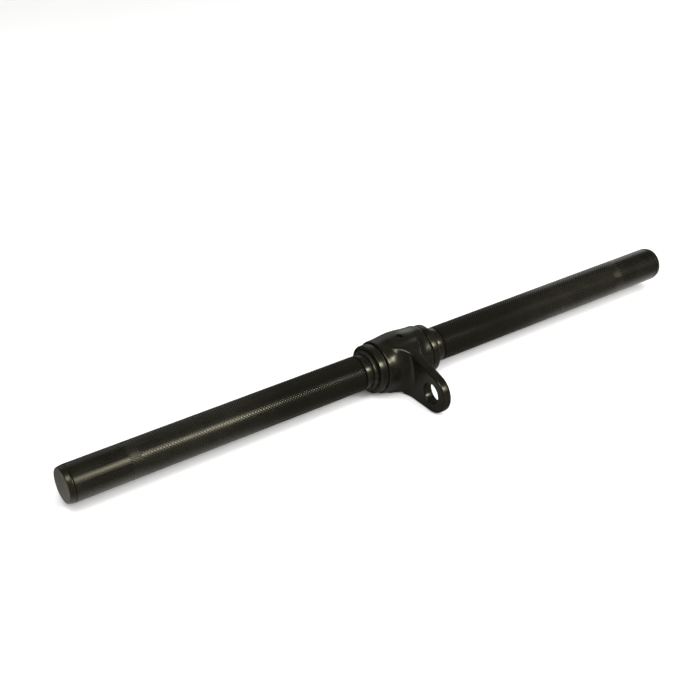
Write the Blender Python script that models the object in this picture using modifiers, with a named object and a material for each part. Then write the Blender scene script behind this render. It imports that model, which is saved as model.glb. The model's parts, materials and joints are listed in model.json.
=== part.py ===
"""A revolving straight cable bar: two knurled grips on a shaft that turns in a swivel hub with an eye.

Metres, +Z up, +X along the bar. The origin is on the floor, under the middle of the object's box.
The bar lies at rest with the ear's underside flat on the floor.
"""
import math

import bmesh
import bpy
from mathutils import Matrix, Vector

MM = 0.001

# Fits
GAP = 0.3 * MM            # between pieces that touch on the real object
RUN_GAP = 0.3 * MM        # round the journal, in every hole it runs in or carries

# Grips and end caps
BAR_LENGTH = 508 * MM
BAR_DIAMETER = 25 * MM
TUBE_WALL = 3 * MM
TUBE_CHAMFER = 0.3 * MM
CAP_FLANGE = 4 * MM
CAP_TAPER = 0.6 * MM      # how much the flange narrows towards its flat end
CAP_EDGE = 0.3 * MM
CAP_SPIGOT = 14 * MM

# Centre shaft
NECK_STEP = 0.1 * MM      # how far the journal lies under the grips' surface
NECK_LENGTH = 5.2 * MM    # plain journal between the circlip's groove and the grip
SPIGOT_LENGTH = 26 * MM
SPIGOT_CHAMFER = 1 * MM

# Swivel hub
BARREL_LENGTH = 38.4 * MM
BARREL_WALL = 2.4 * MM
BARREL_EDGE = 0.8 * MM
BARREL_RISE = 0.5 * MM    # from the barrel's ends to where the ridge's fillet starts
RIDGE_HEIGHT = 1.4 * MM   # of the ridge round the barrel's middle, which the ear grows out of
EAR_REACH = 43.2 * MM     # from the bar's axis to the eye's centre
EAR_TIP_RADIUS = 14.3 * MM
EAR_THICKNESS = 7 * MM
EAR_FILLET = 8 * MM
EYE_DIAMETER = 15 * MM
EYE_CHAMFER = 0.6 * MM
GREASE_HOLE_DIAMETER = 3.8 * MM
GREASE_SCREW_LENGTH = 1.8 * MM

# Bushes, seals, washers, collars and circlips
BUSH_WALL = 3 * MM
BUSH_SPACING = 6 * MM     # the grease space between the two bushes
SEAL_RECESS = 0.4 * MM    # how far the seals stop inside the hub's end faces
THRUST_WASHER_THICKNESS = 0.6 * MM
THRUST_WASHER_WIDTH = 3.9 * MM
COLLAR_LENGTH = 5.2 * MM
COLLAR_WALL = 4.7 * MM
COLLAR_CHAMFER = 0.6 * MM
COLLAR_SCREW_DIAMETER = 3 * MM
SCREW_RECESS = 0.6 * MM
BACKING_WASHER_THICKNESS = 0.7 * MM
BACKING_WASHER_WIDTH = 1.5 * MM
CIRCLIP_THICKNESS = 1.2 * MM
CIRCLIP_WIDTH = 2.1 * MM
CIRCLIP_GROOVE_DEPTH = 0.8 * MM
CIRCLIP_HALF_OPENING = math.radians(20)
LUG_HOLE_SHARE = 0.42     # of the lug's own radius

# Facets
OUTER_STEPS = 48
INNER_STEPS = 32
HUB_STEPS = 64
FILLET_STEPS = 6
SEAL_SIDES = 8
MARGIN = 2 * MM           # how far a cutter runs past what it cuts

# Radii that follow
BAR_RADIUS = BAR_DIAMETER / 2
TUBE_BORE_RADIUS = BAR_RADIUS - TUBE_WALL
INSERT_RADIUS = TUBE_BORE_RADIUS - GAP
JOURNAL_RADIUS = BAR_RADIUS - NECK_STEP
RUNNING_RADIUS = JOURNAL_RADIUS + RUN_GAP
BUSH_RADIUS = RUNNING_RADIUS + BUSH_WALL
HUB_BORE_RADIUS = BUSH_RADIUS + GAP
BARREL_RADIUS = HUB_BORE_RADIUS + BARREL_WALL
RIDGE_RADIUS = BARREL_RADIUS + RIDGE_HEIGHT
COLLAR_RADIUS = RUNNING_RADIUS + COLLAR_WALL
SEAL_RADIUS = BUSH_WALL / 2
CIRCLIP_BORE_RADIUS = JOURNAL_RADIUS - CIRCLIP_GROOVE_DEPTH + GAP
CIRCLIP_RADIUS = CIRCLIP_BORE_RADIUS + CIRCLIP_WIDTH

# Places along X, counted outwards from the middle
HALF_BARREL = BARREL_LENGTH / 2
SEAL_X = HALF_BARREL - SEAL_RECESS - SEAL_RADIUS
BUSH_END_X = SEAL_X - SEAL_RADIUS - GAP
THRUST_WASHER_X = HALF_BARREL + GAP
COLLAR_X = THRUST_WASHER_X + THRUST_WASHER_THICKNESS + GAP
COLLAR_END_X = COLLAR_X + COLLAR_LENGTH
BACKING_WASHER_X = COLLAR_END_X + GAP
CIRCLIP_X = BACKING_WASHER_X + BACKING_WASHER_THICKNESS + GAP
CIRCLIP_END_X = CIRCLIP_X + CIRCLIP_THICKNESS
NECK_END_X = CIRCLIP_END_X + GAP + NECK_LENGTH
TUBE_X = NECK_END_X + GAP
CAP_X = BAR_LENGTH / 2 - CAP_FLANGE
TUBE_END_X = CAP_X - GAP

# The ear, seen along the bar. Its eye lies under the axis, so that its underside is level with the ridge.
EYE_DROP = RIDGE_RADIUS - EAR_TIP_RADIUS
EYE_FORWARD = math.sqrt(EAR_REACH**2 - EYE_DROP**2)
EAR_SLOPE = math.asin(EYE_DROP / EAR_REACH)
EYE_CENTRE = Vector((0, -EYE_FORWARD, -EYE_DROP))
AXIS = Vector((0, (EYE_FORWARD + EAR_TIP_RADIUS - RIDGE_RADIUS) / 2, RIDGE_RADIUS))
SIDES = {"left": -1, "right": 1}


def clear_scene():
    for old in list(bpy.data.objects):
        bpy.data.objects.remove(old, do_unlink=True)


def new_collection(name):
    made = bpy.data.collections.new(name)
    bpy.context.scene.collection.children.link(made)
    return made


def new_material(name, color, roughness, metallic):
    made = bpy.data.materials.new(name)
    made.use_nodes = True
    shader = made.node_tree.nodes["Principled BSDF"]
    shader.inputs["Base Color"].default_value = (*color, 1)
    shader.inputs["Roughness"].default_value = roughness
    shader.inputs["Metallic"].default_value = metallic
    made.diffuse_color = (*color, 1)
    return made


def new_empty(name, location):
    made = bpy.data.objects.new(name, None)
    made.location = location
    parts.objects.link(made)
    return made


clear_scene()
parts = new_collection("revolving_cable_bar")
cutters = new_collection("cutters")
satin_black = new_material("satin_black", (0.020, 0.019, 0.016), 0.42, 0.6)
cast_black = new_material("cast_black", (0.022, 0.021, 0.018), 0.5, 0.5)
dark_steel = new_material("dark_steel", (0.12, 0.12, 0.11), 0.35, 1.0)
bronze = new_material("bronze", (0.45, 0.29, 0.13), 0.4, 1.0)
rubber = new_material("rubber", (0.02, 0.02, 0.02), 0.8, 0.0)

# Both bodies have their origin on the axis that the bar turns about, and every piece is placed from it.
swivel = new_empty("swivel", AXIS)
bar = new_empty("bar", AXIS)


def add_piece(obj, body, material):
    """Finishes a piece: its body, its material, and smooth shading that keeps the real edges."""
    parts.objects.link(obj)
    obj.parent = body
    obj.data.materials.append(material)
    obj.data.shade_smooth()
    obj.data.set_sharp_from_angle(angle=math.radians(32))
    return obj


def add_cutter(obj, body):
    cutters.objects.link(obj)
    obj.parent = body
    obj.hide_render = True
    obj.display_type = "WIRE"
    return obj


def boolean(obj, cutter, operation):
    modifier = obj.modifiers.new(cutter.name, "BOOLEAN")
    modifier.operation = operation
    modifier.solver = "EXACT"
    modifier.object = cutter


def turned(name, profile, steps):
    """A solid turned about the bar's axis from (x, radius) points, which run towards +X along the outer side
    and back along the bore. A solid with no bore starts and ends at radius 0."""
    mesh = bpy.data.meshes.new(name)
    section = bmesh.new()
    points = [section.verts.new((radius, 0, x)) for x, radius in reversed(profile)]
    hollow = profile[0][1] > 0
    following = points[1:] + points[:1] if hollow else points[1:]
    for start, end in zip(points, following):
        section.edges.new((start, end))
    section.to_mesh(mesh)
    section.free()
    obj = bpy.data.objects.new(name, mesh)
    obj.rotation_euler = (0, math.radians(90), 0)
    screw = obj.modifiers.new("turn", "SCREW")
    screw.steps = steps
    screw.render_steps = steps
    screw.use_merge_vertices = True
    screw.merge_threshold = 0.00001
    return obj


def on_side(profile, side):
    """The profile, or on the left side its mirror image, still running towards +X on the outer side."""
    return profile if side > 0 else [(-x, radius) for x, radius in reversed(profile)]


def ring_profile(start, end, bore, outer, chamfer=0.0):
    """Section of a ring, with both outer edges chamfered if a chamfer is given."""
    if not chamfer:
        return [(start, bore), (start, outer), (end, outer), (end, bore)]
    shoulder = outer - chamfer
    return [
        (start, bore),
        (start, shoulder),
        (start + chamfer, outer),
        (end - chamfer, outer),
        (end, shoulder),
        (end, bore),
    ]


def arc(centre_x, centre_y, radius, start, end, steps):
    """Points on a circle between two angles in degrees, both ends included."""
    angles = [math.radians(start + (end - start) * step / steps) for step in range(steps + 1)]
    return [(centre_x + radius * math.cos(a), centre_y + radius * math.sin(a)) for a in angles]


def plate(name, outlines, thickness):
    """A flat solid across the bar from closed outlines of (y, z) points. Its place along X is its object's."""
    curve = bpy.data.curves.new(name, "CURVE")
    curve.dimensions = "2D"
    curve.fill_mode = "BOTH"
    curve.extrude = thickness / 2
    for outline in outlines:
        spline = curve.splines.new("POLY")
        spline.points.add(len(outline) - 1)
        for point, (y, z) in zip(spline.points, outline):
            point.co = (y, z, 0, 1)
        spline.use_cyclic_u = True
    sketch = bpy.data.objects.new(name + "_outline", curve)
    sketch.matrix_world = Matrix(((0, 0, 1), (1, 0, 0), (0, 1, 0))).to_4x4()
    cutters.objects.link(sketch)
    bpy.context.view_layer.update()
    graph = bpy.context.evaluated_depsgraph_get()
    mesh = bpy.data.meshes.new_from_object(sketch.evaluated_get(graph))
    solid = bmesh.new()
    solid.from_mesh(mesh)
    bmesh.ops.remove_doubles(solid, verts=solid.verts, dist=0.000001)
    solid.to_mesh(mesh)
    solid.free()
    obj = bpy.data.objects.new(name, mesh)
    obj.matrix_world = sketch.matrix_world
    bpy.data.objects.remove(sketch)
    return obj


def rod(name, radius, start, end, sides=20):
    """A straight rod between two points."""
    start, end = Vector(start), Vector(end)
    mesh = bpy.data.meshes.new(name)
    solid = bmesh.new()
    bmesh.ops.create_cone(
        solid,
        cap_ends=True,
        segments=sides,
        radius1=radius,
        radius2=radius,
        depth=(end - start).length,
    )
    solid.to_mesh(mesh)
    solid.free()
    obj = bpy.data.objects.new(name, mesh)
    obj.location = (start + end) / 2
    obj.rotation_euler = (end - start).to_track_quat("Z", "Y").to_euler()
    return obj


def grub_screw(name, radius, start, end, body):
    """A headless screw between two points, with a hexagonal socket in its far end."""
    start, end = Vector(start), Vector(end)
    screw = add_piece(rod(name, radius, start, end), body, dark_steel)
    depth = (end - start) * 0.5
    outside = (end - start).normalized() * MARGIN
    socket = rod(name + "_socket", radius * 0.55, end - depth, end + outside, sides=6)
    boolean(screw, add_cutter(socket, body), "DIFFERENCE")
    return screw


def hub_profile():
    """Section of the barrel, with a tall flange in the middle that the ear's outline is cut from."""
    half_ear = EAR_THICKNESS / 2
    top = EAR_REACH + EAR_TIP_RADIUS + MARGIN
    fillet_foot = BARREL_RADIUS + BARREL_RISE
    fillet = arc(half_ear + EAR_FILLET, fillet_foot + EAR_FILLET, EAR_FILLET, 180, 270, FILLET_STEPS)
    right = [
        (half_ear, top),
        *fillet,
        (HALF_BARREL - BARREL_EDGE, BARREL_RADIUS),
        (HALF_BARREL, BARREL_RADIUS - BARREL_EDGE),
        (HALF_BARREL, HUB_BORE_RADIUS),
    ]
    return on_side(right, -1) + right


def hub_outline():
    """The hub seen along the bar: the ridge's circle and the ear tip's, joined by their two tangents."""
    upper = 90 + 2 * math.degrees(EAR_SLOPE)
    quarter = HUB_STEPS // 4
    return [
        *arc(0, 0, RIDGE_RADIUS, -90, 0, quarter),
        *arc(0, 0, RIDGE_RADIUS, 0, upper, quarter)[1:],
        *arc(-EYE_FORWARD, -EYE_DROP, EAR_TIP_RADIUS, upper, 180, quarter),
        *arc(-EYE_FORWARD, -EYE_DROP, EAR_TIP_RADIUS, 180, 270, quarter)[1:],
    ]


def make_hub():
    hub = add_piece(turned("swivel_hub", hub_profile(), HUB_STEPS), swivel, cast_black)
    outline = plate("hub_outline", [hub_outline()], BARREL_LENGTH + 2 * MARGIN)
    boolean(hub, add_cutter(outline, swivel), "INTERSECT")

    half_ear = EAR_THICKNESS / 2
    radius = EYE_DIAMETER / 2
    flare = EYE_CHAMFER + MARGIN
    eye = turned(
        "eye_cutter",
        [
            (-half_ear - MARGIN, 0),
            (-half_ear - MARGIN, radius + flare),
            (-half_ear + EYE_CHAMFER, radius),
            (half_ear - EYE_CHAMFER, radius),
            (half_ear + MARGIN, radius + flare),
            (half_ear + MARGIN, 0),
        ],
        OUTER_STEPS,
    )
    eye.location = EYE_CENTRE
    boolean(hub, add_cutter(eye, swivel), "DIFFERENCE")

    up = Vector((0, -math.sin(EAR_SLOPE), math.cos(EAR_SLOPE)))
    hole_start = up * (HUB_BORE_RADIUS - MARGIN)
    hole_end = up * (RIDGE_RADIUS + MARGIN)
    hole = rod("grease_hole_cutter", GREASE_HOLE_DIAMETER / 2, hole_start, hole_end)
    boolean(hub, add_cutter(hole, swivel), "DIFFERENCE")

    screw_start = up * (HUB_BORE_RADIUS + GAP)
    screw_end = screw_start + up * GREASE_SCREW_LENGTH
    grub_screw("grease_screw", GREASE_HOLE_DIAMETER / 2 - GAP, screw_start, screw_end, swivel)


def make_bearing(label, side):
    """The bush, seal and thrust washer of one side."""
    bush = ring_profile(BUSH_SPACING / 2, BUSH_END_X, RUNNING_RADIUS, BUSH_RADIUS)
    add_piece(turned(label + "_bush", on_side(bush, side), INNER_STEPS), swivel, bronze)

    seal = arc(SEAL_X, RUNNING_RADIUS + SEAL_RADIUS, SEAL_RADIUS, 180, -180, SEAL_SIDES)[:-1]
    add_piece(turned(label + "_seal", on_side(seal, side), INNER_STEPS), swivel, rubber)

    washer = ring_profile(
        THRUST_WASHER_X,
        THRUST_WASHER_X + THRUST_WASHER_THICKNESS,
        RUNNING_RADIUS,
        RUNNING_RADIUS + THRUST_WASHER_WIDTH,
    )
    add_piece(turned(label + "_thrust_washer", on_side(washer, side), INNER_STEPS), swivel, dark_steel)


def make_collar(label, side):
    """The collar of one side, with the grub screw that locks it from below."""
    section = ring_profile(COLLAR_X, COLLAR_END_X, RUNNING_RADIUS, COLLAR_RADIUS, COLLAR_CHAMFER)
    collar = add_piece(turned(label + "_collar", on_side(section, side), OUTER_STEPS), bar, satin_black)

    x = side * (COLLAR_X + COLLAR_END_X) / 2
    down = Vector((0, 0, -1))
    along = Vector((x, 0, 0))
    radius = COLLAR_SCREW_DIAMETER / 2
    inside = along + down * (RUNNING_RADIUS - GAP - MARGIN)
    outside = along + down * (COLLAR_RADIUS + MARGIN)
    hole = rod(label + "_collar_hole", radius + GAP, inside, outside)
    boolean(collar, add_cutter(hole, bar), "DIFFERENCE")

    start = along + down * RUNNING_RADIUS
    end = along + down * (COLLAR_RADIUS - SCREW_RECESS)
    grub_screw(label + "_collar_screw", radius, start, end, bar)


def circlip_outlines():
    """An open ring with its opening at the bottom, and a lug with a plier hole at each end."""
    lug_radius = CIRCLIP_WIDTH * 0.8
    lug_distance = CIRCLIP_BORE_RADIUS + lug_radius
    opening = math.degrees(CIRCLIP_HALF_OPENING)
    lugs = []
    for angle in (-90 + opening, 270 - opening):
        turn = math.radians(angle)
        lugs.append((lug_distance * math.cos(turn), lug_distance * math.sin(turn), angle))
    (first_y, first_z, first), (last_y, last_z, last) = lugs
    ring = [
        *arc(first_y, first_z, lug_radius, first - 180, first, FILLET_STEPS),
        *arc(0, 0, CIRCLIP_RADIUS, first + opening / 2, last - opening / 2, OUTER_STEPS),
        *arc(last_y, last_z, lug_radius, last, last + 180, FILLET_STEPS),
        *arc(0, 0, CIRCLIP_BORE_RADIUS, last, first, OUTER_STEPS)[1:-1],
    ]
    holes = [arc(y, z, lug_radius * LUG_HOLE_SHARE, 0, -360, 10)[:-1] for y, z, _ in lugs]
    return [ring, *holes]


def make_retainers(label, side):
    """The backing washer and the circlip outside one collar."""
    washer = ring_profile(
        BACKING_WASHER_X,
        BACKING_WASHER_X + BACKING_WASHER_THICKNESS,
        RUNNING_RADIUS,
        RUNNING_RADIUS + BACKING_WASHER_WIDTH,
    )
    add_piece(turned(label + "_backing_washer", on_side(washer, side), INNER_STEPS), bar, dark_steel)

    circlip = plate(label + "_circlip", circlip_outlines(), CIRCLIP_THICKNESS)
    circlip.location.x = side * (CIRCLIP_X + CIRCLIP_END_X) / 2
    add_piece(circlip, bar, dark_steel)


def make_shaft():
    """The journal through the hub, with a groove for each circlip and a spigot for each grip tube."""
    groove_radius = JOURNAL_RADIUS - CIRCLIP_GROOVE_DEPTH
    tip_x = NECK_END_X + SPIGOT_LENGTH
    right = [
        (CIRCLIP_X - GAP, JOURNAL_RADIUS),
        (CIRCLIP_X - GAP, groove_radius),
        (CIRCLIP_END_X + GAP, groove_radius),
        (CIRCLIP_END_X + GAP, JOURNAL_RADIUS),
        (NECK_END_X, JOURNAL_RADIUS),
        (NECK_END_X, INSERT_RADIUS),
        (tip_x - SPIGOT_CHAMFER, INSERT_RADIUS),
        (tip_x, INSERT_RADIUS - SPIGOT_CHAMFER),
        (tip_x, 0),
    ]
    add_piece(turned("centre_shaft", on_side(right, -1) + right, INNER_STEPS), bar, satin_black)


def make_grip(label, side):
    """The grip tube and the end cap of one side."""
    tube = ring_profile(TUBE_X, TUBE_END_X, TUBE_BORE_RADIUS, BAR_RADIUS, TUBE_CHAMFER)
    add_piece(turned(label + "_grip_tube", on_side(tube, side), OUTER_STEPS), bar, satin_black)

    end_x = BAR_LENGTH / 2
    inner_x = CAP_X - CAP_SPIGOT
    face_radius = BAR_RADIUS - CAP_TAPER
    cap = [
        (inner_x, 0),
        (inner_x, INSERT_RADIUS - SPIGOT_CHAMFER),
        (inner_x + SPIGOT_CHAMFER, INSERT_RADIUS),
        (CAP_X, INSERT_RADIUS),
        (CAP_X, BAR_RADIUS - TUBE_CHAMFER),
        (CAP_X + TUBE_CHAMFER, BAR_RADIUS),
        (end_x - CAP_EDGE, face_radius),
        (end_x, face_radius - CAP_EDGE),
        (end_x, 0),
    ]
    add_piece(turned(label + "_end_cap", on_side(cap, side), OUTER_STEPS), bar, satin_black)


make_hub()
make_shaft()
for label, side in SIDES.items():
    make_bearing(label, side)
    make_collar(label, side)
    make_retainers(label, side)
    make_grip(label, side)
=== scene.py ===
import json
import math

import bmesh
import bpy
import numpy as np
from mathutils import Matrix, Vector


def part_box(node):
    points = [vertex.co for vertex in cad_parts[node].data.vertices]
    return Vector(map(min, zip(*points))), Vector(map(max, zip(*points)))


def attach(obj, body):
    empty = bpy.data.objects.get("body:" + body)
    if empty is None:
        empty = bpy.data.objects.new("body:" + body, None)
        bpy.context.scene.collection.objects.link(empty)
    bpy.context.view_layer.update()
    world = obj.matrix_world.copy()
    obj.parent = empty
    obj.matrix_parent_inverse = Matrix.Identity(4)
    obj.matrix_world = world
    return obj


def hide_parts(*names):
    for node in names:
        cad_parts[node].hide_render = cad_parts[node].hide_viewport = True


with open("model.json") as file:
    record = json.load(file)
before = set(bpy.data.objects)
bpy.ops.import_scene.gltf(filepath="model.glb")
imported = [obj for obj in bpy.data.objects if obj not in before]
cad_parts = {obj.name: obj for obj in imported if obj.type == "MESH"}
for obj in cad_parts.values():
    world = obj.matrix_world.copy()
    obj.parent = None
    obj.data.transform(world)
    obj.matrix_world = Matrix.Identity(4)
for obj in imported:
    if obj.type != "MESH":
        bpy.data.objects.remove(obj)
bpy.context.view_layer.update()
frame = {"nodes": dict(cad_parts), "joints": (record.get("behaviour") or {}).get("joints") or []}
mm = 0.001
smoothBelow = 32         # degrees; edges that turn by less are shaded smooth

# everything on the bar is turned about this line, so pieces are made round the origin and put here last
axisPoint = Vector(frame["joints"][0]["pos_m"])
sides = {"left": -1, "right": 1}
print("frame in,", len(frame["nodes"]), "nodes, bar axis", round(axisPoint.z / mm, 1), "mm up")


# small helpers

def radiiOf(node):
    # smallest and largest distance of a node's corners from the bar's axis
    corners = [v.co - axisPoint for v in frame["nodes"][node].data.vertices]
    reach = [math.hypot(c.y, c.z) for c in corners]
    return min(reach), max(reach)


def spanOf(node):
    # nearest and farthest x of a node on one side of the hub, both counted outwards
    low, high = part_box(node)
    return sorted((abs(low.x), abs(high.x)))


def turned(bm, outline, steps, closed=True):
    # spins an outline of (x, radius) points about the x axis; a radius of 0 closes to a pole
    points = [bm.verts.new((x, 0, radius)) for x, radius in outline]
    pairs = list(zip(points, points[1:]))
    if closed:
        pairs.append((points[-1], points[0]))
    edges = [bm.edges.new(pair) for pair in pairs]
    bmesh.ops.spin(bm, geom=points + edges, cent=(0, 0, 0), axis=(1, 0, 0), angle=math.tau,
                   steps=steps, use_merge=True)
    bmesh.ops.remove_doubles(bm, verts=bm.verts, dist=0.001 * mm)
    bmesh.ops.recalc_face_normals(bm, faces=bm.faces)


def roundEdges(bm, width, segments=3, sharperThan=30):
    # bevels every edge that turns by more than this many degrees
    limit = math.radians(sharperThan)
    sharp = [e for e in bm.edges if len(e.link_faces) == 2 and e.calc_face_angle(0) > limit]
    bmesh.ops.bevel(bm, geom=sharp, affect="EDGES", offset=width, offset_type="OFFSET",
                    segments=segments, profile=0.5, material=-1, clamp_overlap=True)


def ring(bore, radius, start, end):
    return [(start, bore), (start, radius), (end, radius), (end, bore)]


def mirrored(half):
    # an outline given outwards from x = 0, carried on to the other side
    return [(-x, radius) for x, radius in reversed(half)] + half


def toMesh(bm, name):
    mesh = bpy.data.meshes.new(name)
    bm.to_mesh(mesh)
    bm.free()
    obj = bpy.data.objects.new(name, mesh)
    bpy.context.scene.collection.objects.link(obj)
    return obj


def applied(obj):
    # the object with its modifiers made real
    bpy.context.view_layer.update()
    graph = bpy.context.evaluated_depsgraph_get()
    mesh = bpy.data.meshes.new_from_object(obj.evaluated_get(graph))
    obj.modifiers.clear()
    obj.data = mesh
    return obj


def cutAway(obj, bm):
    cutter = toMesh(bm, "cutter")
    modifier = obj.modifiers.new("cut", "BOOLEAN")
    modifier.operation = "DIFFERENCE"
    modifier.solver = "EXACT"
    modifier.object = cutter
    applied(obj)
    bpy.data.objects.remove(cutter)


def fitPiece(obj, body, finish, node):
    # shades the piece, gives it its finish and lets it stand for its node
    obj.data.materials.clear()
    obj.data.materials.append(finish)
    obj.data.shade_smooth()
    obj.data.set_sharp_from_angle(angle=math.radians(smoothBelow))
    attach(obj, body)
    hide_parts(node)


def placeTurned(bm, side=1):
    # the left pieces are the right ones turned half way round the upright axis
    if side < 0:
        bmesh.ops.rotate(bm, verts=bm.verts, cent=(0, 0, 0), matrix=Matrix.Rotation(math.pi, 3, "Z"))
    bmesh.ops.translate(bm, verts=bm.verts, vec=axisPoint)


def placeObject(obj, side=1):
    bm = bmesh.new()
    bm.from_mesh(obj.data)
    placeTurned(bm, side)
    bm.to_mesh(obj.data)
    bm.free()


# finishes: the coat is the same satin black everywhere, over cast, turned or knurled steel

class Field:
    # one node output; sums on it add Math nodes
    def __init__(self, finish, socket):
        self.finish = finish
        self.socket = socket

    def math(self, operation, first, second=0.0, clamp=False):
        settings = {"operation": operation, "use_clamp": clamp}
        return self.finish.node("ShaderNodeMath", settings, {0: first, 1: second})

    def __add__(self, other):
        return self.math("ADD", self, other)

    def __sub__(self, other):
        return self.math("SUBTRACT", self, other)

    def __rsub__(self, other):
        return self.math("SUBTRACT", other, self)

    def __mul__(self, other):
        return self.math("MULTIPLY", self, other)

    def __pow__(self, other):
        return self.math("POWER", self, other)

    def __abs__(self):
        return self.math("ABSOLUTE", self)

    __radd__ = __add__
    __rmul__ = __mul__

    def clamped(self):
        return self.math("ADD", self, 0.0, clamp=True)

    def between(self, low, high):
        # 0 below low, 1 above high, eased in between
        sockets = {"Value": self, "From Min": low, "From Max": high}
        return self.finish.node("ShaderNodeMapRange", {"interpolation_type": "SMOOTHSTEP"}, sockets)


class Finish:
    # one material's nodes, with the place on the piece counted from the bar's axis
    def __init__(self, name):
        self.material = bpy.data.materials.new(name)
        self.material.use_nodes = True
        self.tree = self.material.node_tree
        self.shader = self.tree.nodes["Principled BSDF"]
        place = self.node("ShaderNodeTexCoord", output="Object")
        self.place = self.node("ShaderNodeMapping", sockets={"Vector": place, "Location": -axisPoint})
        self.x = self.node("ShaderNodeSeparateXYZ", sockets={0: self.place}, output="X")
        self.y = self.node("ShaderNodeSeparateXYZ", sockets={0: self.place}, output="Y")
        self.z = self.node("ShaderNodeSeparateXYZ", sockets={0: self.place}, output="Z")
        self.radius = (self.y * self.y + self.z * self.z) ** 0.5

    def node(self, kind, settings=None, sockets=None, output=0):
        made = self.tree.nodes.new(kind)
        for key, value in (settings or {}).items():
            setattr(made, key, value)
        for key, value in (sockets or {}).items():
            if isinstance(value, Field):
                self.tree.links.new(value.socket, made.inputs[key])
            else:
                made.inputs[key].default_value = value
        return Field(self, made.outputs[output])

    def noise(self, size, detail=2.0, roughness=0.5):
        # grey noise whose blobs are about this big
        sockets = {"Vector": self.place, "Scale": 1 / size, "Detail": detail, "Roughness": roughness}
        return self.node("ShaderNodeTexNoise", sockets=sockets)

    def toolMarks(self, pitch):
        # rings left by turning, on faces as well as on cylinders
        sockets = {"W": self.x + self.radius, "Scale": 1 / pitch, "Detail": 1.0}
        return self.node("ShaderNodeTexNoise", {"noise_dimensions": "1D"}, sockets)

    def edges(self, width):
        # 1 on edges tighter than this width
        rounded = self.node("ShaderNodeBevel", {"samples": 4}, {"Radius": width})
        flat = self.node("ShaderNodeNewGeometry", output="Normal")
        sockets = {0: rounded, 1: flat}
        facing = self.node("ShaderNodeVectorMath", {"operation": "DOT_PRODUCT"}, sockets, "Value")
        return (1 - facing).between(0.02, 0.25)

    def blend(self, amount, first, second):
        # colours mixed by a field
        sockets = {"Factor": amount, "A": first, "B": second}
        return self.node("ShaderNodeMix", {"data_type": "RGBA"}, sockets, "Result")

    def bump(self, height, depth, normal=None):
        # height runs from 0 to 1 over this depth
        sockets = {"Height": height, "Distance": depth, "Strength": 1.0}
        if normal:
            sockets["Normal"] = normal
        return self.node("ShaderNodeBump", sockets=sockets)

    def done(self, **inputs):
        for key, value in inputs.items():
            socket = self.shader.inputs[key.replace("_", " ")]
            if isinstance(value, Field):
                self.tree.links.new(value.socket, socket)
            else:
                socket.default_value = value
        return self.material


def rgba(red, green, blue):
    return (red, green, blue, 1)


coatColors = {
    # the darkest coat tone; the knurl's grooves are also painted towards it as shade
    "deep": rgba(0.0036, 0.0034, 0.0023),
    "plain": rgba(0.0062, 0.0059, 0.0042),
    # worn thin coat, and on the knurl's flats also a painted highlight
    "rubbed": rgba(0.024, 0.0225, 0.017),
    "dust": rgba(0.050, 0.047, 0.038),
    # painted paler grey for the caps' flat ends, as if lit
    "capFace": rgba(0.056, 0.0525, 0.042),
}
coatSheen = rgba(1.0, 0.95, 0.72)    # the coat's highlights are a little warm


def coatColor(finish, mottle, rubbed, dust):
    # satin black that is a little uneven, pale where rubbed thin and greyer where dust sits; on the knurl
    # the dark end also carries painted shade in the grooves and the pale end a painted highlight on the
    # flats
    base = finish.blend(mottle, coatColors["deep"], coatColors["plain"])
    worn = finish.blend(rubbed, base, coatColors["rubbed"])
    return finish.blend(dust, worn, coatColors["dust"])


def coated(finish, color, roughness, metallic, normal):
    return finish.done(Base_Color=color, Roughness=roughness.clamped(), Metallic=metallic, Normal=normal,
                       IOR=1.5, Specular_Tint=coatSheen)


def makeCastCoat():
    finish = Finish("castCoat")
    mottle = finish.noise(9 * mm, 4)
    grain = finish.noise(0.55 * mm, 3, 0.6)
    skin = finish.noise(2.6 * mm, 2)
    rubbed = finish.edges(0.9 * mm) * finish.noise(3 * mm, 4, 0.65).between(0.42, 0.66) * 0.55
    dust = finish.noise(0.28 * mm, 2, 0.7).between(0.66, 0.8) * 0.10
    color = coatColor(finish, mottle.between(0.3, 0.7), rubbed, dust)
    roughness = 0.25 + (mottle - 0.5) * 0.06 + (grain - 0.5) * 0.06 - rubbed * 0.05
    normal = finish.bump(skin, 0.009 * mm, finish.bump(grain, 0.005 * mm))
    return coated(finish, color, roughness, rubbed * 0.5, normal)


def makeTurnedCoat():
    finish = Finish("turnedCoat")
    mottle = finish.noise(7 * mm, 4)
    grain = finish.noise(0.35 * mm, 2)
    marks = finish.toolMarks(0.30 * mm)
    rubbed = finish.edges(0.5 * mm) * finish.noise(2.2 * mm, 4, 0.65).between(0.38, 0.62) * 0.6
    dust = finish.noise(0.22 * mm, 2, 0.7).between(0.68, 0.8) * 0.08
    color = coatColor(finish, mottle.between(0.3, 0.7), rubbed, dust)
    roughness = 0.25 + (mottle - 0.5) * 0.10 + (marks - 0.5) * 0.08 - rubbed * 0.06
    normal = finish.bump(marks, 0.004 * mm, finish.bump(grain, 0.004 * mm))
    return coated(finish, color, roughness, rubbed * 0.6, normal)


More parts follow.
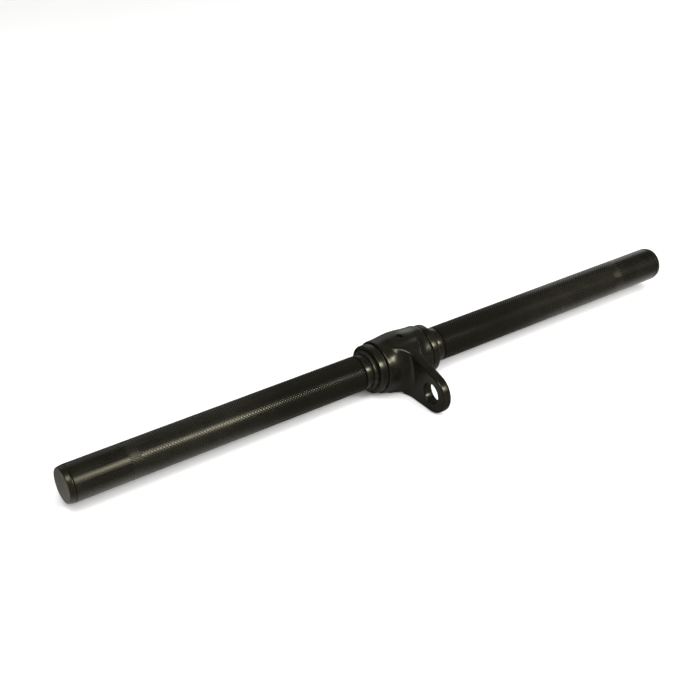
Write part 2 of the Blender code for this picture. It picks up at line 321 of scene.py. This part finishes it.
def makeGripCoat():
    # knurled and plain stretch in one; the flats are where the radius is the plain bar's
    finish = Finish("gripCoat")
    shape = gripShape
    mottle = finish.noise(14 * mm, 4)
    grain = finish.noise(0.30 * mm, 2)
    flats = finish.radius.between(shape["plainRadius"] - 0.07 * mm, shape["plainRadius"] - 0.03 * mm)
    groove = 1 - flats
    knurled = (shape["knurlEnd"] - abs(finish.x)).between(0, 1 * mm)
    # hands rub the deeply pressed diamonds most, and the pale flats are also a painted highlight on the
    # diamonds' crests
    lightly = abs(finish.x).between(shape["deepTo"], shape["lightFrom"])
    uneven = finish.noise(8 * mm, 4, 0.6).between(0.35, 0.7)
    rubbed = flats * knurled * (0.18 - lightly * 0.13 + uneven * 0.18)
    dust = groove * finish.noise(1.1 * mm, 3, 0.7).between(0.6, 0.8) * 0.05
    # painted shade: the knurl's grooves pull the coat towards its darkest tone, as the shade that falls in
    # them
    deep = (mottle.between(0.3, 0.7) - groove * 0.8).clamped()
    color = coatColor(finish, deep, rubbed, dust)
    roughness = 0.26 + (mottle - 0.5) * 0.10 + groove * 0.30 - rubbed * 0.05
    # the grooves are torn and uneven, the flats and the plain end are smooth
    torn = finish.noise(0.45 * mm, 2) * groove
    normal = finish.bump(torn, 0.10 * mm, finish.bump(grain, 0.005 * mm))
    # a metallic black reflects least, so the grooves stay dark under any light
    metallic = rubbed * 0.2 + groove * knurled * 0.75
    return coated(finish, color, roughness, metallic, normal)


def makeCapCoat():
    finish = Finish("capCoat")
    mottle = finish.noise(6 * mm, 4)
    grain = finish.noise(0.30 * mm, 3, 0.6)
    # the flat end is duller and dustier than the flange, and painted a paler grey that stands in for the
    # light it catches
    face = abs(finish.x).between(capShape["length"] - 0.08 * mm, capShape["length"] - 0.02 * mm)
    rubbed = finish.edges(0.5 * mm) * finish.noise(2 * mm, 4, 0.65).between(0.40, 0.64) * 0.5
    dust = finish.noise(0.5 * mm, 3, 0.7).between(0.55, 0.8) * (0.05 + face * 0.14)
    coat = coatColor(finish, mottle.between(0.3, 0.7), rubbed, dust)
    color = finish.blend(face * (0.75 + mottle * 0.5).clamped(), coat, coatColors["capFace"])
    roughness = 0.29 + (mottle - 0.5) * 0.10 + face * 0.34 - rubbed * 0.06
    normal = finish.bump(grain, 0.006 * mm)
    return coated(finish, color, roughness, rubbed * 0.5, normal)


steelColors = {
    "oxide": rgba(0.008, 0.0075, 0.0055),
    "thinOxide": rgba(0.018, 0.017, 0.013),
    "bare": rgba(0.12, 0.115, 0.10),
}


def makeBlackSteel():
    finish = Finish("blackSteel")
    mottle = finish.noise(2.4 * mm, 4, 0.6)
    marks = finish.toolMarks(0.12 * mm)
    rubbed = finish.edges(0.25 * mm) * finish.noise(1.1 * mm, 3).between(0.35, 0.6)
    oxide = finish.blend(mottle.between(0.3, 0.7), steelColors["oxide"], steelColors["thinOxide"])
    color = finish.blend(rubbed * 0.6, oxide, steelColors["bare"])
    roughness = 0.30 + (mottle - 0.5) * 0.16 + (marks - 0.5) * 0.1
    normal = finish.bump(marks, 0.004 * mm)
    return coated(finish, color, roughness, rubbed * 0.8, normal)


bronzeColors = {
    "dry": rgba(0.46, 0.27, 0.11),
    "oiled": rgba(0.25, 0.14, 0.06),
    "pore": rgba(0.07, 0.045, 0.03),
}


def makeOiledBronze():
    finish = Finish("oiledBronze")
    pores = finish.noise(0.18 * mm, 3, 0.7)
    mottle = finish.noise(3 * mm, 4)
    oiled = mottle.between(0.35, 0.65)
    color = finish.blend(oiled, bronzeColors["dry"], bronzeColors["oiled"])
    speckled = finish.blend(pores.between(0.62, 0.75), color, bronzeColors["pore"])
    roughness = 0.42 - oiled * 0.18 + (pores - 0.5) * 0.3
    normal = finish.bump(pores, 0.012 * mm)
    return finish.done(Base_Color=speckled, Roughness=roughness.clamped(), Metallic=1.0, Normal=normal)


rubberColors = {
    "black": rgba(0.012, 0.012, 0.013),
    "bloom": rgba(0.050, 0.049, 0.047),
}


def makeSealRubber():
    finish = Finish("sealRubber")
    grain = finish.noise(0.20 * mm, 3, 0.6)
    bloom = finish.noise(2.5 * mm, 4, 0.65).between(0.45, 0.75)
    color = finish.blend(bloom * 0.6, rubberColors["black"], rubberColors["bloom"])
    roughness = 0.62 + bloom * 0.2 + (grain - 0.5) * 0.1
    normal = finish.bump(grain, 0.010 * mm)
    return finish.done(Base_Color=color, Roughness=roughness.clamped(), Normal=normal)


def makeFloorPaper():
    finish = Finish("floorPaper")
    grain = finish.noise(1.6 * mm, 3)
    cloud = finish.noise(400 * mm, 2)
    color = finish.blend(cloud, rgba(0.87, 0.87, 0.87), rgba(0.90, 0.90, 0.90))
    # painted shade in the coat's reflection of the floor: what the coat mirrors of the floor is painted
    # greyer than the floor itself,
    # for the shade round the bar and the hub: darkest in front and beside the hub, palest under the grips,
    # mostly on the right
    under = finish.y.between(-50 * mm, -5 * mm)
    behind = finish.y.between(5 * mm, 45 * mm)
    toRight = finish.x.between(-300 * mm, 700 * mm)
    nearHub = finish.x.between(-75 * mm, -10 * mm) * (1 - finish.x.between(20 * mm, 200 * mm))
    paler = under * (0.45 + toRight * 0.18) * (1 - nearHub * 0.7)
    paintedReflectionShade = 0.93 - paler + behind * (0.47 - toRight * 0.26)
    mirrored = finish.node("ShaderNodeLightPath", output="Is Glossy Ray")
    color = finish.blend(mirrored * paintedReflectionShade, color, rgba(0, 0, 0))
    normal = finish.bump(grain, 0.02 * mm)
    return finish.done(Base_Color=color, Roughness=0.9, Normal=normal)


# the hub: a cast barrel that swells in the middle, with an eye on a flat ear

hubShape = {
    "tipRadius": 14.3 * mm,
    "earThickness": 7 * mm,
    "earFillet": 7.5 * mm,        # where the ear's faces run into the barrel
    "earFlare": 20 * mm,          # seen from above, the arc in which the ear widens to the barrel
    "flareEnd": 24 * mm,          # how far forward that arc starts
    "filletGrows": 11 * mm,       # along the ear's edge, from no fillet to the whole one
    "crownRise": 1.2 * mm,        # of the barrel's middle over its ends
    "crownHalfWidth": 17 * mm,
    "edgeBlend": 1.7 * mm,        # rounding along the ear's edges
    "endBlend": 1.2 * mm,
    "skin": 0.45 * mm,            # spacing of the cast skin's mesh
    "settleRounds": 8,
    "eyeRadius": 7.5 * mm,
    "eyeLip": 0.8 * mm,
    "boreLip": 0.5 * mm,
    "holeRadius": 2.4 * mm,
    "holeLip": 0.15 * mm,
    "holeSink": 0.03 * mm,        # of the grease hole's mouth under the crown
    "holeInside": 1 * mm,         # how far the hole's cutter reaches into the bore
    "cutBeyond": 2 * mm,          # how far a cutter runs past what it cuts
    "boreSteps": 128,
    "eyeSteps": 96,
    "holeSteps": 48,
    "lipSteps": 4,
}


def earPlaces():
    # eye centre from the bar's axis: the ear tip touches the floor and the front of the box
    low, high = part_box("swivel_hub")
    tip = hubShape["tipRadius"]
    return Vector((0, low.y - axisPoint.y + tip, tip - axisPoint.z))


def softMax(a, b, reach):
    # the larger of two distances, with the edge between them rounded over this reach
    overlap = np.maximum(reach - np.abs(a - b), 0) / reach
    return np.maximum(a, b) + overlap**2 * reach / 4


def hubDistance(spots):
    # how far outside the finished casting each spot lies, round the bar's axis
    shape = hubShape
    x = np.abs(spots[:, 0])
    y, z = spots[:, 1], spots[:, 2]
    radius = np.hypot(y, z)

    # the ear's outline: the hull of a circle round the axis and one round the eye
    ridge = axisPoint.z
    eye = earPlaces()
    reach = eye.length
    lean = (ridge - shape["tipRadius"]) / reach
    rise = math.sqrt(1 - lean**2)
    along = (y * eye.y + z * eye.z) / reach
    across = np.abs(y * eye.z - z * eye.y) / reach
    zone = rise * along - lean * across
    outline = lean * along + rise * across - ridge
    outline = np.where(zone < 0, radius - ridge, outline)
    roundTip = np.hypot(across, along - reach) - shape["tipRadius"]
    outline = np.where(zone > rise * reach, roundTip, outline)

    # the outline is fullest in the middle and sinks into the barrel towards its ends
    swell = np.clip(x / shape["crownHalfWidth"], 0, 1)
    outline = outline + shape["crownRise"] * np.sin(math.pi / 2 * swell) ** 2
    outOfBarrel = radius - ridge + shape["crownRise"]

    # seen from above, the ear's sides flare out to the barrel in an arc
    flare = shape["earFlare"]
    short = np.maximum(shape["flareEnd"] + y, 0)
    outOfEar = flare - np.hypot(flare + shape["earThickness"] / 2 - x, short)
    outOfEar = softMax(outline, outOfEar, shape["edgeBlend"])

    # the ear meets the barrel in a fillet that fades out where both run level
    grown = np.clip(zone / shape["filletGrows"], 0.001, 1)
    fillet = shape["earFillet"] * grown**2 * (3 - 2 * grown)
    inCorner = (outOfEar < fillet) & (outOfBarrel < fillet)
    corner = fillet - np.hypot(fillet - outOfEar, fillet - outOfBarrel)
    body = np.where(inCorner, corner, np.minimum(outOfEar, outOfBarrel))
    body = np.maximum(body, -z - ridge)    # no fillet swells below the surface that the hub lies on
    return softMax(body, x - spanOf("swivel_hub")[1], shape["endBlend"])


def settle(obj, distance, rounds):
    # moves each vertex straight onto the surface where the distance is 0, in ever smaller steps
    mesh = obj.data
    flat = np.empty(len(mesh.vertices) * 3)
    mesh.vertices.foreach_get("co", flat)
    spots = flat.reshape(-1, 3)
    step = 0.01 * mm
    for _ in range(rounds):
        rises = [distance(spots + nudge) - distance(spots - nudge) for nudge in np.eye(3) * step]
        slope = np.stack(rises, axis=1) / (2 * step)
        steepness = np.maximum((slope**2).sum(axis=1), 0.1)
        spots = spots - (distance(spots) / steepness)[:, None] * slope
    mesh.vertices.foreach_set("co", spots.ravel())
    mesh.update()


def rod(bm, radius, halfLength, place=(0, 0, 0)):
    # a round rod along x
    lie = Matrix.Translation(place) @ Matrix.Rotation(math.pi / 2, 4, "Y")
    return bmesh.ops.create_cone(bm, cap_ends=True, segments=96, radius1=radius, radius2=radius,
                                 depth=2 * halfLength, matrix=lie)["verts"]


def lipped(radius, lip, halfDepth):
    # half outline of a hole's cutter that flares at its mouth in a quarter round
    flare = []
    for turn in np.linspace(0, math.pi / 2, hubShape["lipSteps"] + 1):
        flare.append((halfDepth - lip * (1 - math.sin(turn)), radius + lip * (1 - math.cos(turn))))
    past = halfDepth + hubShape["cutBeyond"]
    return flare + [(past, radius + lip), (past, 0)]


def cutThrough(obj, half, steps, place=(0, 0, 0)):
    # a hole along x with the same mouth on both sides
    bm = bmesh.new()
    turned(bm, mirrored(half), steps, closed=False)
    bmesh.ops.translate(bm, verts=bm.verts, vec=place)
    cutAway(obj, bm)


def makeHub():
    shape = hubShape
    eye = earPlaces()
    bore, _ = radiiOf("swivel_hub")
    halfLength = spanOf("swivel_hub")[1]

    # a barrel and a plate for the ear, fused into one even skin that settles onto the finished form
    bm = bmesh.new()
    rod(bm, axisPoint.z, halfLength)
    plate = rod(bm, axisPoint.z, shape["earThickness"] / 2)
    plate += rod(bm, shape["tipRadius"], shape["earThickness"] / 2, eye)
    hull = bmesh.ops.convex_hull(bm, input=plate, use_existing_faces=False)
    bmesh.ops.delete(bm, geom=hull["geom_interior"], context="VERTS")
    hub = toMesh(bm, "hubCasting")
    skin = hub.modifiers.new("skin", "REMESH")
    skin.mode = "VOXEL"
    skin.voxel_size = shape["skin"]
    settle(applied(hub), hubDistance, shape["settleRounds"])

    cutThrough(hub, lipped(bore, shape["boreLip"], halfLength), shape["boreSteps"])
    eyeMouth = lipped(shape["eyeRadius"], shape["eyeLip"], shape["earThickness"] / 2)
    cutThrough(hub, eyeMouth, shape["eyeSteps"], eye)

    # the grease hole stands square to the line from the axis to the eye, and opens into the bore
    inside = bore - shape["holeInside"]
    mouth = lipped(shape["holeRadius"], shape["holeLip"], axisPoint.z - shape["holeSink"])
    bm = bmesh.new()
    turned(bm, [(inside, 0), (inside, shape["holeRadius"])] + mouth, shape["holeSteps"], closed=False)
    lean = Matrix.Rotation(math.asin(-eye.z / eye.length), 3, "X")
    upright = Matrix.Rotation(-math.pi / 2, 3, "Y")
    bmesh.ops.rotate(bm, verts=bm.verts, cent=(0, 0, 0), matrix=lean @ upright)
    cutAway(hub, bm)

    placeObject(hub)
    fitPiece(hub, "swivel", makeCastCoat(), "swivel_hub")


# the grips: knurled tubes, plain for their last stretch

gripShape = {
    "plainRadius": radiiOf("right_grip_tube")[1],
    "knurlStart": spanOf("right_grip_tube")[0] + 0.7 * mm,
    "knurlEnd": 212 * mm,
    "around": 38,              # diamonds round the bar
    "rows": 85,
    "grooveDepth": 0.32 * mm,  # where the knurl is deepest; its flats lie level with the plain bar
    "flank": 0.44 * mm,        # width of a diamond's sloping side there
    "flankLeast": 0.02 * mm,
    "deepTo": 95 * mm,         # the knurl is pressed full depth up to here
    "lightFrom": 140 * mm,     # and lightly from here
    "lightShare": 0.36,        # of the full depth
    "fadeFrom": 196 * mm,
    "leadIn": 0.1 * mm,        # of the turned step before the knurl
    "leadDepth": 0.05 * mm,
    "runOut": 0.25 * mm,       # from the last diamonds to the plain bar
    "plainHold": 0.2 * mm,
    "chamfer": 0.35 * mm,
}


def extendTube(bm, rim, rings):
    # carries an open rim through (x, radius) rings and returns the last one
    for x, radius in rings:
        grown = bmesh.ops.extrude_edge_only(bm, edges=rim)["geom"]
        rim = [part for part in grown if isinstance(part, bmesh.types.BMEdge)]
        for spot in [part for part in grown if isinstance(part, bmesh.types.BMVert)]:
            scale = radius / math.hypot(spot.co.y, spot.co.z)
            spot.co = (x, spot.co.y * scale, spot.co.z * scale)
    return rim


def knurlShare(x):
    # how much of its full depth the knurl has at this distance from the hub
    shape = gripShape
    light = shape["lightShare"]
    stations = (shape["deepTo"], shape["lightFrom"], shape["fadeFrom"], shape["knurlEnd"])
    return float(np.interp(x, stations, (1, light, light, light / 4)))


def makeGrip(label, side):
    shape = gripShape
    bore, plain = radiiOf("right_grip_tube")
    start, end = spanOf("right_grip_tube")

    bm = bmesh.new()
    line = [bm.verts.new((x, 0, plain)) for x in (shape["knurlStart"], shape["knurlEnd"])]
    bmesh.ops.subdivide_edges(bm, edges=[bm.edges.new(line)], cuts=shape["rows"] - 1)
    bmesh.ops.spin(bm, geom=list(bm.verts) + list(bm.edges), cent=(0, 0, 0), axis=(1, 0, 0), angle=math.tau,
                   steps=shape["around"], use_merge=True)
    bmesh.ops.recalc_face_normals(bm, faces=bm.faces)

    # crossing grooves: a point in each face, then the first grid's lines dissolved, leaves diamonds
    firstLines = [e for e in bm.edges if not e.is_boundary]
    bmesh.ops.poke(bm, faces=bm.faces)
    bmesh.ops.dissolve_edges(bm, edges=firstLines, use_verts=False)
    rows = {}
    for face in bm.faces:
        rows.setdefault(round(face.calc_center_median().x / mm, 2), []).append(face)
    for spot in bm.verts:
        sunk = plain - shape["grooveDepth"] * knurlShare(spot.co.x)
        scale = sunk / math.hypot(spot.co.y, spot.co.z)
        spot.co.y *= scale
        spot.co.z *= scale
    bm.normal_update()
    # each row's diamonds rise from the grooves to the plain bar's radius
    for x, faces in sorted(rows.items()):
        share = knurlShare(x * mm)
        flank = shape["flankLeast"] + (shape["flank"] - shape["flankLeast"]) * share
        bmesh.ops.inset_individual(bm, faces=faces, thickness=flank, use_even_offset=True,
                                   depth=shape["grooveDepth"] * share)

    # then the ends and the bore close the tube
    chamfer = shape["chamfer"]
    middle = (shape["knurlStart"] + shape["knurlEnd"]) / 2
    rims = [e for e in bm.edges if e.is_boundary]
    inner = [e for e in rims if e.verts[0].co.x < middle]
    outer = [e for e in rims if e.verts[0].co.x > middle]
    lead = shape["knurlStart"] - shape["leadIn"]
    leadRadius = plain - shape["leadDepth"]
    inner = extendTube(bm, inner, [(lead, leadRadius), (start + chamfer, leadRadius),
                                   (start, plain - chamfer), (start, bore)])
    land = shape["knurlEnd"] + shape["runOut"]
    outer = extendTube(bm, outer, [(land, plain), (land + shape["plainHold"], plain),
                                   (end - chamfer, plain), (end, plain - chamfer), (end, bore)])
    bmesh.ops.bridge_loops(bm, edges=inner + outer)
    bmesh.ops.recalc_face_normals(bm, faces=bm.faces)
    placeTurned(bm, side)
    fitPiece(toMesh(bm, label + "Grip"), "bar", finishes["grip"], label + "_grip_tube")


# end caps

capShape = {
    "length": spanOf("right_end_cap")[1],
    "flange": spanOf("right_end_cap")[1] - spanOf("right_grip_tube")[1],
    "crown": 0.9 * mm,         # how much the flange narrows to its face
    "crownCurve": 1.6,         # 1 would be a plain cone
    "crownSteps": 6,
    "seam": 0.3 * mm,          # dark gap between the grip and the flange
    "play": 0.3 * mm,          # round the spigot
    "faceRound": 0.35 * mm,
    "spigotStart": spanOf("right_end_cap")[0],
    "steps": 96,
}


def makeEndCap(label, side):
    shape = capShape
    bore, plain = radiiOf("right_grip_tube")
    seam = shape["length"] - shape["flange"] + shape["seam"]
    spigot = bore - shape["play"]
    outline = [(shape["spigotStart"], 0), (shape["spigotStart"], spigot), (seam, spigot)]
    for share in np.linspace(0, 1, shape["crownSteps"] + 1):
        narrowed = plain - shape["crown"] * share ** shape["crownCurve"]
        outline.append((seam + (shape["length"] - seam) * share, narrowed))
    bm = bmesh.new()
    turned(bm, outline + [(shape["length"], 0)], shape["steps"], closed=False)
    roundEdges(bm, shape["faceRound"], sharperThan=40)
    placeTurned(bm, side)
    fitPiece(toMesh(bm, label + "EndCap"), "bar", finishes["cap"], label + "_end_cap")


# collars, washers and clips beside the hub, and the shaft through them

ringShape = {
    "collarRound": 0.45 * mm,
    "washerRound": 0.12 * mm,
    "bushRound": 0.3 * mm,
    "circlipRound": 0.15 * mm,
    "screwRound": 0.12 * mm,
    "screwHole": 1.8 * mm,
    "cutBeyond": 1 * mm,
    "collarSteps": 128,
    "steps": 96,
}

shaftShape = {
    "round": 0.12 * mm,
    "play": 0.3 * mm,          # to the grips and to each side of a circlip
    "clipGroove": 0.8 * mm,    # depth
}


def makeRing(name, node, side, body, finish, rounding):
    bore, radius = radiiOf(node)
    start, end = spanOf(node)
    bm = bmesh.new()
    turned(bm, ring(bore, radius, start, end), ringShape["steps"])
    roundEdges(bm, rounding)
    placeTurned(bm, side)
    fitPiece(toMesh(bm, name), body, finish, node)


def makeCollar(name, node, side):
    bore, radius = radiiOf(node)
    start, end = spanOf(node)
    bm = bmesh.new()
    turned(bm, ring(bore, radius, start, end), ringShape["collarSteps"])
    roundEdges(bm, ringShape["collarRound"], segments=5)
    collar = toMesh(bm, name)
    # the lock screw's hole comes in from below
    bm = bmesh.new()
    down = Matrix.Translation(((start + end) / 2, 0, -radius))
    hole = ringShape["screwHole"]
    depth = radius - bore + ringShape["cutBeyond"]
    bmesh.ops.create_cone(bm, cap_ends=True, segments=40, radius1=hole, radius2=hole, depth=2 * depth,
                          matrix=down)
    cutAway(collar, bm)
    placeObject(collar, side)
    fitPiece(collar, "bar", finishes["turned"], node)


def makeShaft():
    # journal through the hub, a groove for each circlip, and a spigot inside each grip
    play = shaftShape["play"]
    journal = radiiOf("centre_shaft")[1]
    groove = journal - shaftShape["clipGroove"]
    spigot = radiiOf("right_grip_tube")[0] - play
    clipStart, clipEnd = spanOf("right_circlip")
    neckEnd = spanOf("right_grip_tube")[0] - play
    spigotEnd = spanOf("centre_shaft")[1]
    half = [(clipStart - play, journal), (clipStart - play, groove), (clipEnd + play, groove),
            (clipEnd + play, journal), (neckEnd, journal), (neckEnd, spigot), (spigotEnd, spigot),
            (spigotEnd, 0)]
    bm = bmesh.new()
    turned(bm, mirrored(half), ringShape["steps"], closed=False)
    roundEdges(bm, shaftShape["round"])
    placeTurned(bm)
    fitPiece(toMesh(bm, "centreShaft"), "bar", finishes["turned"], "centre_shaft")


def softCopy(name, node, body, width):
    # a steel node's own shape with its sharp edges rounded
    bm = bmesh.new()
    bm.from_mesh(frame["nodes"][node].data)
    bmesh.ops.remove_doubles(bm, verts=bm.verts, dist=0.002 * mm)
    bmesh.ops.dissolve_limit(bm, angle_limit=math.radians(1), verts=bm.verts, edges=bm.edges)
    roundEdges(bm, width, segments=2, sharperThan=40)
    fitPiece(toMesh(bm, name), body, finishes["steel"], node)


# camera, lights and floor

cameraView = {
    "offset": Vector((-472.97, -605.64, 467.48)) * mm,   # from the middle of the bar's axis
    "turn": (59.05, 0, -35.55),
    "lens": 65.823,
}

lights = {
    # name: x, angle above the front and distance from the hub, size, power, colour
    "keyStrip": (0.62, 38, 1.50, (0.50, 0.34), 12, (1.0, 0.985, 0.95)),
    "keyTail": (0.18, 41, 1.50, (0.38, 0.34), 2.9, (1.0, 0.985, 0.95)),
    "highBox": (-0.62, 66, 1.50, (0.50, 0.55), 8, (1.0, 0.99, 0.97)),
    "backPanel": (1.0, 155, 2.60, (5.0, 1.7), 8, (1.0, 0.99, 0.97)),
    "rightPanel": (2.3, 160, 2.00, (1.8, 1.2), 5, (1.0, 0.99, 0.97)),
    "floorLight": (-0.3, 55, 2.60, (5.0, 5.0), 225, (1.0, 1.0, 1.0)),
}


def makeCamera():
    camera = bpy.data.cameras.new("camera")
    camera.lens = cameraView["lens"]
    camera.sensor_width = 36
    obj = bpy.data.objects.new("camera", camera)
    obj.location = axisPoint + cameraView["offset"]
    obj.rotation_euler = [math.radians(a) for a in cameraView["turn"]]
    bpy.context.scene.collection.objects.link(obj)
    bpy.context.scene.camera = obj


def makeLights():
    for name, (along, angle, distance, size, power, color) in lights.items():
        light = bpy.data.lights.new(name, "AREA")
        light.shape = "RECTANGLE"
        light.size, light.size_y = size
        light.energy = power
        light.color = color
        lift = math.radians(angle)
        obj = bpy.data.objects.new(name, light)
        obj.location = axisPoint + Vector((along, -distance * math.cos(lift), distance * math.sin(lift)))
        obj.rotation_euler = (math.pi / 2 - lift, 0, 0)
        obj.visible_camera = False
        # the big one only lights the floor, and the panels behind only show in the coat
        obj.visible_glossy = name != "floorLight"
        obj.visible_diffuse = not name.endswith("Panel")
        bpy.context.scene.collection.objects.link(obj)
    world = bpy.data.worlds.new("studio")
    world.use_nodes = True
    background = world.node_tree.nodes["Background"]
    background.inputs["Color"].default_value = rgba(1.0, 0.99, 0.97)
    background.inputs["Strength"].default_value = 0.07
    bpy.context.scene.world = world
    bpy.context.scene.view_settings.view_transform = "Standard"


def makeFloor():
    bm = bmesh.new()
    bmesh.ops.create_grid(bm, x_segments=4, y_segments=4, size=4)    # 8 m wide
    floor = toMesh(bm, "floorPaper")
    floor.data.materials.append(makeFloorPaper())


finishes = {"turned": makeTurnedCoat(), "grip": makeGripCoat(), "cap": makeCapCoat(),
            "steel": makeBlackSteel(), "bronze": makeOiledBronze(), "rubber": makeSealRubber()}
print("finishes mixed")

makeHub()
print("hub cast and machined")

makeShaft()
for label, side in sides.items():
    makeCollar(label + "Collar", label + "_collar", side)
    makeRing(label + "ThrustWasher", label + "_thrust_washer", side, "swivel",
             finishes["steel"], ringShape["washerRound"])
    makeRing(label + "BackingWasher", label + "_backing_washer", side, "bar",
             finishes["steel"], ringShape["washerRound"])
    softCopy(label + "Circlip", label + "_circlip", "bar", ringShape["circlipRound"])
    softCopy(label + "CollarScrew", label + "_collar_screw", "bar", ringShape["screwRound"])
    makeRing(label + "Bush", label + "_bush", side, "swivel",
             finishes["bronze"], ringShape["bushRound"])
    # the seals keep their CAD shape
    seal = frame["nodes"][label + "_seal"].data
    seal.materials.clear()
    seal.materials.append(finishes["rubber"])
softCopy("greaseScrew", "grease_screw", "swivel", ringShape["screwRound"])
print("shaft, collars, washers and clips fitted")

for label, side in sides.items():
    makeGrip(label, side)
    makeEndCap(label, side)
print("grips knurled and capped")

makeCamera()
makeLights()
makeFloor()
print("set ready")
